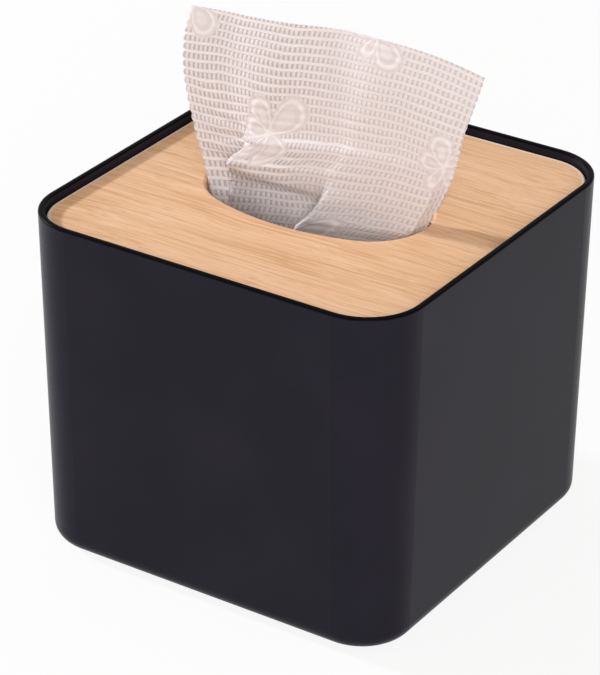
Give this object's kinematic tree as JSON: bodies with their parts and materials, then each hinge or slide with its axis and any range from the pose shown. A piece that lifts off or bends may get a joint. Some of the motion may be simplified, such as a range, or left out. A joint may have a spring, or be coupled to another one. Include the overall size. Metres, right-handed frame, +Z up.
{
  "type": "tissue box cover",
  "caption": "Square moulded tissue box with rounded corners, a drop-in wooden lid with an oval slot, and an embossed leaf pulled up through it.",
  "frame": {"origin": "middle of the footprint, on the surface that the pads stand on", "axes": "+Z up, -Y out of the front face, +X to the right along the slot and the lid's grain"},
  "size_m": [0.11, 0.11, 0.1419],
  "materials": {
    "case": "black moulded plastic with a soft satin skin",
    "lid": "light wood with a straight, fine grain along X, sanded and clear-coated matt",
    "tissue": "soft embossed tissue, off-white",
    "pads": "dark grey matt rubber"
  },
  "bodies": {
    "case": {"case": "case", "tissue_pack": "tissue", "pad_front_left": "pads", "pad_front_right": "pads", "pad_back_left": "pads", "pad_back_right": "pads"},
    "lid": {"lid": "lid"},
    "leaf": {"pulled_sheet": "tissue"}
  },
  "joints": [
    {"name": "lid_lift", "type": "slide", "parent": "case", "child": "lid", "axis": [0, 0, 1], "range_m": [0, 0.06]},
    {"name": "sheet_pull", "type": "slide", "parent": "lid", "child": "leaf", "axis": [0, 0, 1], "range_m": [0, 0.05]}
  ]
}
